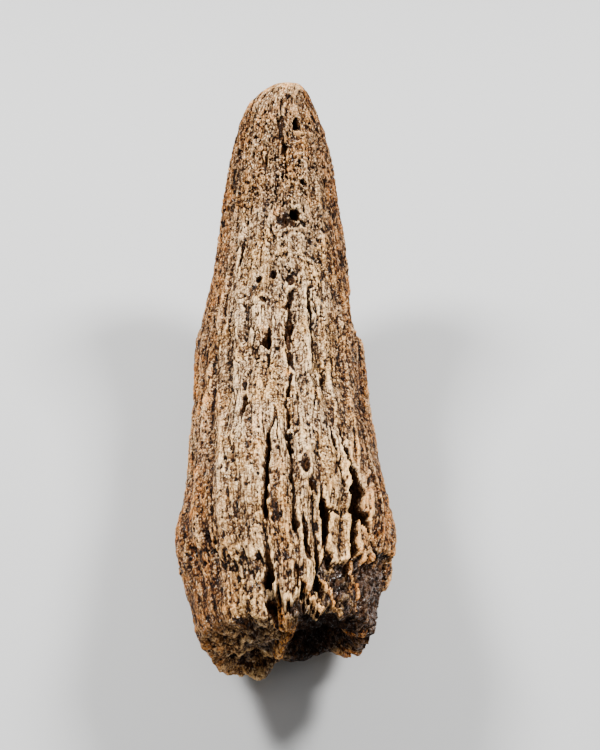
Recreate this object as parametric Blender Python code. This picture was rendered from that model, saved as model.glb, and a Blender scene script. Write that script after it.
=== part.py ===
"""Fossil bison horn core, lying on its convex underside with the broken root towards -Y.

The core is one bone. Its surface is worked out on a lattice of rings round a curved axis:
"along" is a distance in millimetres on that axis, 0 at the girth, positive to the tip, and
"around" is an angle in degrees on a ring: 0 is +X, 90 the upper side, 180 is -X, 270 the
underside. Blender's units are metres.
"""
import math

import bmesh
import bpy
import numpy as np
from mathutils import Vector, noise

MM = 0.001

# The axis: a straight stretch at the root, then an arc that lifts the tip.
TIP = 267.0            # where the axis ends
BEND_START = 56.0      # where the arc begins
ROOT_SLOPE = -4.0      # degrees that the root stretch climbs towards the tip
TIP_SLOPE = 53.0       # degrees that the arc ends at
GIRTH_HEIGHT = 43.1    # height of the axis over the ground at the girth
SIDE_BOW = 3.3         # the axis drifts this far to -X on its way to the tip
SIDE_BOW_END = 110.0
NECK_SHIFT = 2.5       # behind the girth it drifts this far to +X
NECK_START = -15.0
NECK_END = -60.0
TIP_SHIFT = 3.0        # and so does its very end
TIP_SHIFT_START = 254.0

# Half the width of the core, as (along, radius).
GIRTH = (
    (-90, 36.0), (-70, 35.6), (-50, 36.4), (-30, 39.4), (-12, 43.0), (0, 43.8), (20, 43.0),
    (60, 41.2), (100, 39.6), (125, 38.0), (145, 35.4), (180, 31.0), (205, 28.0),
    (225, 25.2), (240, 22.1), (252, 17.6), (260, 12.6), (264.4, 7.6), (266.4, 3.6), (TIP, 0.0),
)
FULL_RADIUS = 42.0     # where the core is as thick as this, it has its full relief
SLIM_RADIUS = 4.0      # and here it has none
CUT_RADIUS = 14.0      # cracks and pits reach their full depth where the core is as thick as this

# Broad swellings and worn facets: along, around, length, width, height.
SWELLS = (
    (264, 70, 7, 7, 2.4),
    (263, 150, 5, 7, 1.4),
    (254, 172, 9, 10, 1.0),
    (240, 0, 14, 12, -0.8),
    (140, 4, 26, 16, -1.6),
    (128, 182, 28, 14, 1.6),
    (36, 100, 30, 12, 0.8),
    (-62, 178, 12, 12, 1.0),
)

# The root is broken across on a leaning plane, and its rim is jagged.
FACE_ALONG = -56.0     # where the plane crosses the axis
FACE_LEAN = 0.46       # how far it falls back to the girth for each mm that it drops
RIM_JAGS = (           # (around, along), how far the rim stops short of the plane
    (0, 9), (18, 5), (34, 9), (48, 3), (60, 9), (68, 2), (78, 6), (86, -1), (94, 0), (98, 15),
    (103, -1), (114, -2), (121, 4), (128, -1), (150, 3), (172, 2), (188, -4), (208, -9),
    (230, -7), (246, -4), (258, 4), (268, 18), (284, 22), (298, 16), (308, 6), (322, 3), (338, 5),
)
SPLINTER_WIDTH = 5.0   # degrees
RIM_SPLINTER = 1.8     # how far splinters of the rim reach past each other
EVEN_SIDE = 0.7        # part of that which is missing on the rim's left side
RIM_LOSS = 3.0         # mean loss of the flaked layer at the rim
RIM_WIDTH = 0.12       # part of the radius that the dense rim takes
RIM_ROUNDING = (       # (around, depth), how far the shaft falls in right at the rim
    (0, 0.0), (90, 0.5), (120, 2.5), (200, 2.5), (245, 3.0), (275, 0.0),
)
RIM_ROUNDING_LENGTH = 9.0

# The broken face inside the rim.
FACE_RECESS = 2.0      # depth of the worn spongy middle
FACE_LUMP_HEIGHT = 4.0
FACE_LUMP_SIZE = 9.0
FACE_FORMS = (         # across, up, radius, height of the lumps (+) and hollows (-)
    (-13, -26, 11, 8.0),
    (-24, -4, 10, 5.0),
    (-8, 10, 9, 6.0),
    (-22, 14, 9, 4.0),
    (-3, 22, 7, 4.0),
    (-3, -6, 7, 5.0),
    (12, -7, 19, -17.0),
    (13, 19, 11, -5.0),
    (-27, -21, 4, -9.0),
    (-25, 26, 4, -4.0),
    (27, 6, 7, 4.0),
)
FACE_RIDGES = (        # across, up, width and height at each point
    ((-10, 33, 5.0, 2.0), (-3, 25, 5.0, 3.6), (0, 14, 5.0, 4.2), (-2, 4, 5.0, 3.8), (-5, -9, 5.0, 2.4)),
    ((31, 18, 5.0, 2.4), (29, 6, 5.0, 3.4), (23, -10, 5.0, 3.0)),
)

# The dense outer layer has flaked off behind these places, as (around, along).
LAYER_END = (
    (0, -16), (10, -11), (17, -19), (24, -25), (31, -29), (35, -31), (39, -37), (45, -33),
    (47, -18), (50, -18), (52, -40), (56, -43), (61, -43), (66, -38), (70, -46), (78, -60),
    (86, -66), (89, -71), (98, -71), (101, -66), (104, -50), (108, -43), (113, -48), (118, -38),
    (124, -43), (129, -31), (134, -36), (140, -22), (148, -27), (156, -17), (166, -23), (178, -16),
    (190, -21), (215, -26), (250, -40), (290, -38), (312, -27), (338, -19),
)
LAYER_SPLINTER = 2.5
LAYER_EDGE = 3.0       # length of the slope at the layer's edge
LAYER_THICKNESS = ((0, 3.4), (25, 4.4), (45, 5.5), (75, 5.0), (98, 3.6), (112, 2.4), (135, 1.6),
                   (180, 0.9), (270, 0.9), (330, 2.4))

# Cracks and grooves from the tip end to the root end: along, around, width and depth at each point.
CRACKS = (
    ((250, 91, 3.0, 0.0), (240, 90, 3.0, 1.2), (190, 82, 3.0, 0.0)),           # furrow down the tip
    ((234, 87, 3.0, 0.0), (227, 86, 3.0, 2.4), (216, 85, 3.0, 0.0)),
    ((176, 121, 3.0, 0.0), (166, 123, 3.0, 2.0), (158, 125, 3.0, 2.2), (150, 126, 3.0, 0.0)),
    ((152, 82, 4.0, 0.0), (140, 82, 4.0, 1.4), (64, 84, 4.0, 1.4),             # middle furrow
     (58, 85, 3.6, 2.6), (46, 88, 3.6, 3.2), (33, 88, 3.4, 2.2), (19, 88, 3.4, 3.0),
     (4, 86, 3.2, 2.0), (-24, 85, 3.2, 2.2), (-40, 84, 3.6, 2.8), (-70, 85, 3.4, 2.0)),
    ((138, 70, 3.0, 0.0), (128, 70, 3.0, 2.2), (94, 68, 3.0, 2.4), (66, 71, 3.0, 0.0)),
    ((114, 97, 3.0, 0.0), (98, 97, 3.0, 1.6), (56, 98, 3.0, 0.0)),
    ((66, 113, 3.0, 0.0), (54, 113, 3.2, 2.4), (44, 113, 3.2, 2.4), (31, 113, 3.0, 0.0)),
    ((26, 99, 3.0, 0.0), (14, 99, 3.4, 2.6), (-4, 100, 3.6, 3.0),              # left of the middle
     (-24, 101, 3.6, 2.8), (-43, 103, 3.4, 2.4), (-50, 103, 4.0, 3.6), (-61, 103, 4.6, 4.0),
     (-76, 102, 4.6, 3.0)),
    ((42, 31, 3.0, 0.0), (31, 31, 3.0, 2.6), (17, 35, 3.0, 2.6), (3, 39, 3.0, 0.0)),
    ((33, 62, 3.0, 0.0), (22, 60, 3.4, 3.2), (12, 59, 3.4, 3.2), (2, 58, 3.0, 0.0)),
    ((38, 57, 3.0, 0.0), (27, 54, 3.4, 3.4), (19, 52, 4.0, 4.4),               # wide one on the right
     (12, 49, 5.6, 5.6), (6, 47, 8.0, 6.6), (-8, 47, 7.6, 6.8), (-20, 48, 5.4, 6.2),
     (-28, 47, 4.4, 5.6), (-38, 45, 4.0, 4.6), (-48, 43, 4.0, 0.0)),
    ((-6, 69, 3.0, 0.0), (-14, 69, 3.2, 3.0), (-24, 67, 3.6, 4.6), (-32, 67, 3.6, 4.4),
     (-42, 69, 3.0, 0.0)),
    ((4, 136, 3.0, 0.0), (-4, 135, 3.0, 2.4), (-18, 134, 3.0, 2.2), (-26, 136, 3.0, 0.0)),
    ((124, 196, 4.5, 0.0), (110, 195, 4.5, 1.6), (30, 192, 4.5, 0.0)),         # the sides' furrows
    ((184, 214, 4.5, 0.0), (170, 215, 4.5, 1.6), (90, 220, 4.5, 0.0)),
    ((154, 335, 5.0, 0.0), (130, 336, 5.0, 2.0), (40, 341, 5.0, 0.0)),
    ((92, 8, 4.5, 0.0), (80, 7, 4.5, 1.8), (10, 2, 4.5, 0.0)),
    ((214, 300, 4.0, 0.0), (200, 299, 4.0, 1.4), (140, 296, 4.0, 0.0)),
)

# Ridges that stand on the bare spongy bone, in the same way.
SPINES = (
    ((-54, 82, 3.0, 0.0), (-61, 80, 4.0, 2.6), (-65, 71, 5.0, 3.6), (-69, 62, 5.5, 3.4),
     (-74, 56, 5.0, 0.0)),
    ((-40, 73, 3.0, 0.0), (-47, 72, 3.0, 2.0), (-56, 64, 3.2, 2.4), (-64, 55, 3.2, 2.2),
     (-70, 50, 3.0, 0.0)),
)

# Pits: along, around, length, width, depth.
PITS = (
    (241, 69, 6, 3.5, 3.0),
    (187, 77.5, 6, 5, 4.5),
    (96, 99, 9, 4, 2.6),
    (145, 94, 6, 4, 1.8),
    (155, 141, 7, 4, 1.8),
    (-69, 130, 6, 7, 3.0),
    (-30, 236, 13, 10, 6.0),
    (170, 20, 8, 5, 2.0),
    (70, 160, 10, 6, 1.8),
    (110, 310, 12, 6, 2.0),
)

RIDGE_HEIGHT = 2.8     # the coarse grain, ridges that run from the root to the tip
RIDGE_COUNT = 8.0      # noise cells on a radian
RIDGE_LENGTH = 75.0
LUMP_HEIGHT = 1.3
LUMP_COUNT = 2.2
LUMP_LENGTH = 38.0
LEDGE = (122.0, 20.0, 24.0, 1.8)   # a step on the right flank: along, around, half width, height
LEDGE_EDGE = 5.0       # length of the step's slope
LEDGE_FADE = 34.0      # and how far behind it the surface falls back
WORN_START = -0.25     # the belly is worn smooth where the sine of around is under this,
WORN_FULL = -0.75      # and most of all under this
WORN_RIDGES = 0.25     # part of the ridges that is left there

# Seeds of the noises.
RIDGE_SEED = 3.0
LUMP_SEED = 9.0
SPLINTER_SEED = 12.5
FACE_SEED = 5.0

# The lattice.
COLUMNS = 80
CROWDING = 0.35        # the upper side has closer columns than the underside
SHAFT_RINGS = 46
TIP_RINGS = 5
FACE_PARTS = (0.93, 0.80, 0.66, 0.50, 0.34, 0.17)   # rings of the face, in parts of the radius
TIP_CAP = 20.0         # length of the domed end, whose rings lie closer
ROOT_NOMINAL = -56.0   # the last ring, before the broken rim moves it
GRIP_START = 22.0      # behind this place the rings lean to follow the broken rim

BONE_COLOUR = (0.42, 0.29, 0.19, 1.0)
BONE_ROUGHNESS = 0.62


def smooth(low, high, value):
    """0 at low, 1 at high, and a soft step between; low may be the greater."""
    part = np.clip((value - low) / (high - low), 0.0, 1.0)
    return part * part * (3.0 - 2.0 * part)


def read_profile(points, places):
    """Smooth curve through (place, value) points that never overshoots them."""
    xs, ys = np.array(points, float).T
    rises = np.diff(ys) / np.diff(xs)
    before, after = rises[:-1], rises[1:]
    same_way = before * after > 0.0
    total = np.where(same_way, before + after, 1.0)
    bends = np.where(same_way, 2.0 * before * after / total, 0.0)
    slopes = np.concatenate((rises[:1], bends, rises[-1:]))
    places = np.clip(places, xs[0], xs[-1])
    index = np.clip(np.searchsorted(xs, places, side="right") - 1, 0, len(xs) - 2)
    span = xs[index + 1] - xs[index]
    part = (places - xs[index]) / span
    square, cube = part ** 2, part ** 3
    from_start = (2 * cube - 3 * square + 1) * ys[index] + (cube - 2 * square + part) * span * slopes[index]
    from_end = (3 * square - 2 * cube) * ys[index + 1] + (cube - square) * span * slopes[index + 1]
    return from_start + from_end


def read_round(points, around):
    """Straight stretches through (around, value) points, closed round the circle."""
    angles, values = np.array(points, float).T
    return np.interp(around % 360.0, angles, values, period=360.0)


def turn(around, target):
    """Signed angle in degrees from target to around."""
    return (around - target + 180.0) % 360.0 - 180.0


def axis_at(along):
    """Places on the curved axis, and the slope there in radians."""
    low = math.radians(ROOT_SLOPE)
    radius = (TIP - BEND_START) / math.radians(TIP_SLOPE - ROOT_SLOPE)
    straight = np.minimum(along, BEND_START)
    slope = low + np.maximum(along - BEND_START, 0.0) / radius
    x = NECK_SHIFT * smooth(NECK_START, NECK_END, along) - SIDE_BOW * smooth(0.0, SIDE_BOW_END, along)
    x = x + TIP_SHIFT * smooth(TIP_SHIFT_START, TIP, along)
    y = straight * math.cos(low) + radius * (np.sin(slope) - math.sin(low))
    z = straight * math.sin(low) + radius * (math.cos(low) - np.cos(slope))
    return x, y, GIRTH_HEIGHT + z, slope


def place(along, around, radius):
    """Points at a radius from the axis, on the sections at along."""
    x, y, z, slope = axis_at(along)
    angle = np.radians(around)
    up = radius * np.sin(angle)
    return np.stack((x + radius * np.cos(angle), y - up * np.sin(slope), z + up * np.cos(slope)), -1)


def noise_of(x, y, z):
    """Soft noise, about -0.6 to 0.6, at each point."""
    x, y, z = np.broadcast_arrays(x, y, z)
    found = [noise.noise(point) for point in zip(x.flat, y.flat, z.flat)]
    return np.reshape(found, x.shape)


def grain_noise(along, around, cells, length, seed):
    """Noise drawn out along the bone and closed round it."""
    angle = np.radians(around)
    return noise_of(cells * np.cos(angle) + seed, cells * np.sin(angle), along / length)


def splinters(around, height):
    """A height up or down that holds over one splinter and jumps to the next one's."""
    wobble = 0.3 * noise_of(around / 9.0, SPLINTER_SEED, 0.5)
    cells = np.floor(around / SPLINTER_WIDTH + wobble)
    return height * np.array([noise.cell((cell, SPLINTER_SEED, 0.5)) for cell in cells.flat])


def route_relief(routes, along, around, radius):
    """Height or depth of routes that run along the bone."""
    found = np.zeros_like(along)
    for route in routes:
        places, angles, widths, heights = np.array(route[::-1], float).T
        middle = np.interp(along, places, angles)
        width = np.interp(along, places, widths)
        height = np.interp(along, places, heights, left=0.0, right=0.0)
        across = abs(np.radians(turn(around, middle)) * radius)
        found = np.maximum(found, height * smooth(0.85 * width, 0.1 * width, across))
    return found


def pit_depth(along, around, radius):
    """Depth of the pits."""
    depth = np.zeros_like(along)
    for middle, centre, length, width, most in PITS:
        across = np.radians(turn(around, centre)) * radius
        reach = np.hypot((along - middle) / length, across / width)
        depth = depth + most * smooth(1.0, 0.2, reach)
    return depth


def layer_loss(along, around, radius):
    """Depth that is missing where the outer layer has flaked off, less the ridges left there."""
    end = read_round(LAYER_END, around) + splinters(around, LAYER_SPLINTER)
    gone = smooth(end + 0.5 * LAYER_EDGE, end - 0.5 * LAYER_EDGE, along)
    return gone * (read_round(LAYER_THICKNESS, around) - route_relief(SPINES, along, around, radius))


def rounding(along, around):
    """Depth that the shaft loses where it turns over to the broken face."""
    reach = (along - rim_along(around)) / RIM_ROUNDING_LENGTH
    return read_round(RIM_ROUNDING, around) * smooth(1.0, 0.0, reach) ** 2


def swell(along, around, radius):
    """Height of the broad swellings, and less than nothing on the worn facets."""
    height = np.zeros_like(along)
    for middle, centre, length, width, most in SWELLS:
        across = np.radians(turn(around, centre)) * radius
        height = height + most * np.exp(-((along - middle) / length) ** 2 - (across / width) ** 2)
    return height


def ledge(along, around):
    """Height of the step on the right flank, which falls back towards the root."""
    middle, centre, half, height = LEDGE
    beside = smooth(half, 0.4 * half, abs(turn(around, centre)))
    behind = smooth(middle - LEDGE_FADE, middle - LEDGE_EDGE, along)
    before = smooth(middle + 0.5 * LEDGE_EDGE, middle - 0.5 * LEDGE_EDGE, along)
    return height * beside * behind * before


def radius_at(along, around):
    """Distances from the axis to the surface."""
    even = read_profile(GIRTH, along)
    worn = smooth(WORN_START, WORN_FULL, np.sin(np.radians(around)))
    slim = smooth(SLIM_RADIUS, FULL_RADIUS, even)
    ridges = RIDGE_HEIGHT * grain_noise(along, around, RIDGE_COUNT, RIDGE_LENGTH, RIDGE_SEED)
    lumps = LUMP_HEIGHT * grain_noise(along, around, LUMP_COUNT, LUMP_LENGTH, LUMP_SEED)
    relief = slim * (ridges * (1.0 - worn + WORN_RIDGES * worn) + lumps * (1.0 - worn))
    relief = relief + swell(along, around, even) + ledge(along, around)
    cuts = route_relief(CRACKS, along, around, even) + pit_depth(along, around, even)
    loss = layer_loss(along, around, even) + rounding(along, around)
    return even + relief - cuts * smooth(0.0, CUT_RADIUS, even) - loss


def rim_along(around):
    """Where the broken rim lies, along the axis."""
    even = read_profile(GIRTH, np.full_like(around, FACE_ALONG))
    up = even * np.sin(np.radians(around))
    calm = 1.0 - EVEN_SIDE * smooth(100.0, 60.0, abs(turn(around, 180.0)))
    jags = read_round(RIM_JAGS, around) + calm * splinters(around, RIM_SPLINTER)
    return FACE_ALONG - FACE_LEAN * up + jags


def face_ridges(across, up):
    """Height of the ridges that cross the broken face."""
    found = np.zeros_like(across)
    for path in FACE_RIDGES:
        for (x, y, width, height), (next_x, next_y, next_width, next_height) in zip(path, path[1:]):
            run_x, run_y = next_x - x, next_y - y
            part = ((across - x) * run_x + (up - y) * run_y) / (run_x ** 2 + run_y ** 2)
            part = np.clip(part, 0.0, 1.0)
            reach = np.hypot(across - x - part * run_x, up - y - part * run_y)
            wide = width + part * (next_width - width)
            high = height + part * (next_height - height)
            found = np.maximum(found, high * smooth(wide, 0.3 * wide, reach))
    return found


def face_points(around):
    """Points of the broken face: a row for each ring from the rim inwards."""
    part = np.array(FACE_PARTS)[:, None]
    rim = rim_along(around)
    hold = smooth(1.0 - 3.0 * RIM_WIDTH, 1.0, part)
    even = read_profile(GIRTH, rim) - RIM_LOSS
    radius = part * (even + hold * (radius_at(rim, around) - even))
    across = radius * np.cos(np.radians(around))
    up = radius * np.sin(np.radians(around))
    plane = FACE_ALONG - FACE_LEAN * up
    along = plane + hold * (rim - plane)
    inside = smooth(1.0, 1.0 - 1.5 * RIM_WIDTH, part)
    lumps = FACE_LUMP_HEIGHT * noise_of(across / FACE_LUMP_SIZE, up / FACE_LUMP_SIZE, FACE_SEED)
    along = along + inside * (FACE_RECESS + lumps)
    for middle_x, middle_z, size, height in FACE_FORMS:
        reach = np.hypot(across - middle_x, up - middle_z)
        along = along - inside * height * smooth(size, 0.2 * size, reach)
    along = along - inside * face_ridges(across, up)
    return place(along, around, radius)


def shaft_points(around):
    """Points of the outer surface: a row for each ring from the tip to the root."""
    bend = np.linspace(0.0, math.pi / 2.0, TIP_RINGS + 1)[1:]
    dome = TIP - TIP_CAP * (1.0 - np.cos(bend))
    shaft = np.linspace(TIP - TIP_CAP, ROOT_NOMINAL, SHAFT_RINGS + 1)[1:]
    nominal = np.concatenate((dome, shaft))[:, None]
    lean = smooth(GRIP_START, ROOT_NOMINAL, nominal)
    along = nominal + lean * (rim_along(around) - ROOT_NOMINAL)
    return place(along, around, radius_at(along, around))


def column_angles():
    """Angles of the columns, closer together on the upper side."""
    steps = np.linspace(0.0, math.tau, COLUMNS, endpoint=False)
    return np.degrees(steps + CROWDING * np.cos(steps))


def settled(points):
    """The lowest bone is worn flat where it lies on the ground, and units become metres."""
    points[..., 2] = np.maximum(points[..., 2], 0.0)
    return points * MM


def build_lattice(bm):
    """Tip, shaft, rim and broken face as one closed lattice, made by extruding a ring."""
    around = column_angles()
    rows = settled(np.concatenate((shaft_points(around), face_points(around))))
    ring = list(bmesh.ops.create_circle(bm, segments=COLUMNS, radius=MM)["verts"])
    move_ring(ring, rows[0])
    tip = settled(place(np.array(TIP), 90.0, 0.0))
    close_fan(bm, ring, tip)
    for row in rows[1:]:
        ring = extrude_ring(bm, ring)
        move_ring(ring, row)
    close_fan(bm, ring, rows[-1].mean(0))


def move_ring(ring, points):
    """Set the vertices of a ring on its points."""
    for vert, point in zip(ring, points):
        vert.co = point


def extrude_ring(bm, ring):
    """Extrude a closed ring of edges and return the new ring in the same order."""
    edges = [bm.edges.get((ring[i], ring[i - 1])) for i in range(len(ring))]
    made = bmesh.ops.extrude_edge_only(bm, edges=edges)["geom"]
    fresh = {item for item in made if isinstance(item, bmesh.types.BMVert)}
    following = []
    for vert in ring:
        others = (edge.other_vert(vert) for edge in vert.link_edges)
        following.append(next(other for other in others if other in fresh))
    return following


def close_fan(bm, ring, point):
    """Close a ring with triangles that meet in one point."""
    middle = bm.verts.new(point)
    for i, vert in enumerate(ring):
        bm.faces.new((middle, ring[i - 1], vert))


def bone_material():
    """Buff fossil bone."""
    material = bpy.data.materials.new("fossil_bone")
    material.use_nodes = True
    shader = material.node_tree.nodes["Principled BSDF"]
    shader.inputs["Base Color"].default_value = BONE_COLOUR
    shader.inputs["Roughness"].default_value = BONE_ROUGHNESS
    shader.inputs["Metallic"].default_value = 0.0
    return material


def centre_on_ground(mesh):
    """Move the bone so that the middle of its footprint is the origin."""
    places = np.array([vert.co for vert in mesh.vertices])
    low, high = places.min(0), places.max(0)
    middle = (low + high) / 2.0
    shift = Vector((middle[0], middle[1], low[2]))
    for vert in mesh.vertices:
        vert.co -= shift


def make_horn_core():
    """The one bone of the horn core."""
    bm = bmesh.new()
    build_lattice(bm)
    bmesh.ops.recalc_face_normals(bm, faces=bm.faces)
    bmesh.ops.triangulate(bm, faces=bm.faces)
    mesh = bpy.data.meshes.new("horn_core")
    bm.to_mesh(mesh)
    bm.free()
    centre_on_ground(mesh)
    mesh.materials.append(bone_material())
    core = bpy.data.objects.new("horn_core", mesh)
    bpy.context.scene.collection.objects.link(core)
    return core


for old in list(bpy.data.objects):
    bpy.data.objects.remove(old, do_unlink=True)

make_horn_core()
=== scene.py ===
"""Looks of a fossil bison horn core: a weathered bone lying on its convex underside.

"along" is a distance in millimetres on the bone's curved axis, 0 at the girth, positive to the
tip. "around" is an angle in degrees on a section: 0 is +X, 90 the upper side, 180 is -X.
"""

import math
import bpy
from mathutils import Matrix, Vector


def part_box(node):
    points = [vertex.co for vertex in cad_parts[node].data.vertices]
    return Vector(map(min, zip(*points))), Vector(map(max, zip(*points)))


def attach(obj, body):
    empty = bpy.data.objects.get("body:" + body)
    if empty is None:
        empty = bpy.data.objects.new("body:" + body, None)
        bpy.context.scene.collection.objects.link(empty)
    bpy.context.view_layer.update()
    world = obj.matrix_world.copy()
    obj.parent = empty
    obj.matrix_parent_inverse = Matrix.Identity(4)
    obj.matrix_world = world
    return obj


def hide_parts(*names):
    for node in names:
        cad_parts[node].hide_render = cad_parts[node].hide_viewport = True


bl_info = {
    "name": "Fossil Horn Core",
    "version": (1, 0, 0),
    "blender": (4, 5, 0),
    "location": "View3D > Sidebar > Horn Core",
    "description": "Builds the weathered surface of a fossil bison horn core, and its stage",
    "category": "Add Mesh",
}

from types import SimpleNamespace

import bmesh
import bpy
import numpy as np
from mathutils import Vector, noise

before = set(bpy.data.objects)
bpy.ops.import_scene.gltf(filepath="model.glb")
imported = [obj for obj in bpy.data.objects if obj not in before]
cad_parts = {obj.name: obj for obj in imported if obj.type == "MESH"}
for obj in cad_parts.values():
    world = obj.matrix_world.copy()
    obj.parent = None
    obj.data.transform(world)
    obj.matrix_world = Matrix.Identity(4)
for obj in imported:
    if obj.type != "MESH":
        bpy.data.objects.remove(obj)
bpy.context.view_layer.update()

MM = 0.001
NODE = "horn_core"
BODY = "root"

# Driving dimensions of the bone, as its solid has them.
TIP = 267.0
BEND_START = 56.0
ROOT_SLOPE = -4.0
TIP_SLOPE = 53.0
GIRTH_HEIGHT = 43.1
SIDE_BOW = 3.3
SIDE_BOW_END = 110.0
NECK_SHIFT = 2.5
NECK = (-15.0, -60.0)  # along: where the root begins to shift aside, and where it has
TIP_SHIFT = 3.0
TIP_SHIFT_START = 254.0
GIRTH = (              # along, radius
    (-90, 36.0), (-70, 35.6), (-50, 36.4), (-30, 39.4), (-12, 43.0), (0, 43.8), (20, 43.0),
    (60, 41.2), (100, 39.6), (125, 38.0), (145, 35.4), (180, 31.0), (205, 28.0),
    (225, 25.2), (240, 22.1), (252, 17.6), (260, 12.6), (264.4, 7.6), (266.4, 3.6), (TIP, 0.0),
)
GIRTH_RADIUS = 43.8

# Where parts of the relief begin, and where they are at their full.
RIDGES_AT = (4.0, 42.0)        # radius
SWELLS_AT = (0.0, 6.0)         # radius
CUTS_AT = (0.0, 14.0)          # radius
WORN_AT = (-0.25, -0.75)       # sine of around: the underside is worn smooth
WORMS_AT = (90.0, 200.0)       # along: winding grooves take the place of long plates
LEFT_FRONT = (100.0, 112.0)    # around
LEFT_BACK = (200.0, 180.0)     # around
SPONGY_SIDE = (108.0, 96.0)    # degrees from the right: there the bare bone is most open
CRUMBLY_AT = (40.0, 0.0)       # along: plates break up to crumbs on the left
TORN_AT = (18.0, 5.0)          # distance behind the end of the outer layer
CALM_AT = (18.0, 2.0)          # distance from the rim on the underside
FACE_SHADE_AT = (-4.0, 8.0)   # across the face: painted shadow darkens its right half, where the hollow lies
FACE_PALE_AT = (-18.0, -29.0)  # across the face: its left edge is lighter, with less soil and painted light
LEAST_RADIUS = 8.0             # for widths of cracks at the tip

# Broad swellings and worn facets: along, around, length, width, height.
SWELLS = (
    (264, 70, 7, 7, 2.4),
    (263, 150, 5, 7, 1.4),
    (254, 172, 9, 10, 1.0),
    (240, 0, 14, 12, -0.8),
    (140, 4, 26, 16, -1.6),
    (128, 182, 28, 14, 1.6),
    (36, 100, 30, 12, 0.8),
    (-62, 178, 12, 12, 1.0),
)

# The broken root.
FACE_ALONG = -56.0
FACE_LEAN = 0.46
FACE_RECESS = 2.0
RIM_LOSS = 3.0
RIM_WIDTH = 0.12       # part of the radius that the dense rim takes
FACE_LUMP_HEIGHT = 4.0  # the face's broad unevenness
FACE_LUMP_SIZE = 9.0
FACE_CRUMBS = 1.2
RIM_JAGS = (           # around, how far towards the tip the rim is broken back
    (0, 9), (18, 5), (34, 9), (48, 3), (60, 9), (68, 2), (78, 6), (86, -1), (94, 0), (98, 15),
    (103, -1), (114, -2), (121, 4), (128, -1), (150, 3), (172, 2), (188, -4), (208, -9),
    (230, -7), (246, -4), (258, 4), (268, 18), (284, 22), (298, 16), (308, 6), (322, 3), (338, 5),
)
FACE_FORMS = (  # across, up, radius, height towards the viewer of the face
    (-13, -26, 11, 8.0),
    (-24, -4, 10, 5.0),
    (-8, 10, 9, 6.0),
    (-22, 14, 9, 4.0),
    (-3, 22, 7, 4.0),
    (-3, -6, 7, 5.0),
    (12, -7, 19, -17.0),
    (13, 19, 11, -5.0),
    (-27, -21, 4, -9.0),
    (-25, 26, 4, -4.0),
    (27, 6, 7, 4.0),
    (-30, 5, 4.5, 2.6),
    (-18, -13, 5, 3.0),
    (-12, 25, 4.5, 2.8),
    (-17, 3, 4.5, 2.6),
    (-22, -16, 4, 2.2),
    (-9, -13, 4, 2.4),
    (12, 30, 5, 2.6),
    (24, 20, 4.5, 2.4),
)
SMALL_LUMP = 6.0       # lumps smaller than this are clean of soil and painted lighter

# The outer layer: around, place along where it has flaked off; and around, thickness.
LAYER_END = (
    (0, -16), (10, -11), (17, -19), (24, -25), (31, -29), (35, -31), (39, -37), (45, -33),
    (47, -18), (50, -18), (52, -40), (56, -43), (61, -43), (66, -38), (70, -46), (78, -60),
    (84, -62), (88, -68), (98, -69), (101, -60), (104, -50), (108, -43), (113, -48), (118, -38),
    (124, -43), (129, -31), (134, -36), (140, -22), (148, -27), (156, -17), (166, -23), (178, -16),
    (190, -21), (215, -26), (250, -40), (284, -42), (292, -31), (300, -37), (310, -24), (320, -29),
    (333, -18), (345, -22), (352, -14),
)
LAYER_THICKNESS = ((0, 3.4), (25, 4.4), (45, 5.5), (75, 5.0), (98, 3.6), (112, 2.4), (135, 1.6),
                   (180, 0.9), (270, 0.9), (330, 2.4))
# How the surface falls in at the rim: around, depth; and over which length.
RIM_ROUNDING = ((0, 0.0), (90, 0.5), (120, 2.5), (200, 2.5), (245, 3.0), (275, 0.0))
RIM_ROUNDING_LENGTH = 9.0

# Dark patches on the skin, soil and painted shade on the bare bone, and yellow patches: along,
# around, length, width, strength.
STAINS = (
    (257, 114, 6, 6, 0.5),
    (232, 96, 9, 9, 0.3),
    (186, 84, 7, 6, 0.6),
    (-10, 48, 14, 4, 0.7),
)
SOIL_AND_SHADE = (
    (-40, 8, 30, 30, 1.0),
    (-46, -28, 22, 22, 0.8),
    (-52, -62, 14, 16, 0.5),
    (-66, 30, 20, 20, 1.0),
    (-46, 52, 14, 8, 1.0),
    (-62, 56, 14, 9, 0.85),
    (-48, 68, 10, 5, 0.8),
    (-60, 103, 12, 4, 0.8),
    (-80, 112, 6, 10, 0.6),
    (-72, 84, 6, 7, 1.0),
    (-80, 96, 8, 6, 0.7),
    (-36, 168, 10, 8, 0.35),
    (-60, 160, 22, 20, 0.2),
)
YELLOW = (
    (64, 86.5, 3.0, 2.0, 1.3),
    (189, 91, 7, 4, 0.5),
    (103, 101, 9, 4, 0.4),
    (-24, 93, 34, 5, 0.35),
    (-75, 94.5, 4, 4.5, 1.0),
    (-41, 311, 8, 13, 1.2),
    (20, 106, 22, 5, 0.25),
)

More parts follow.
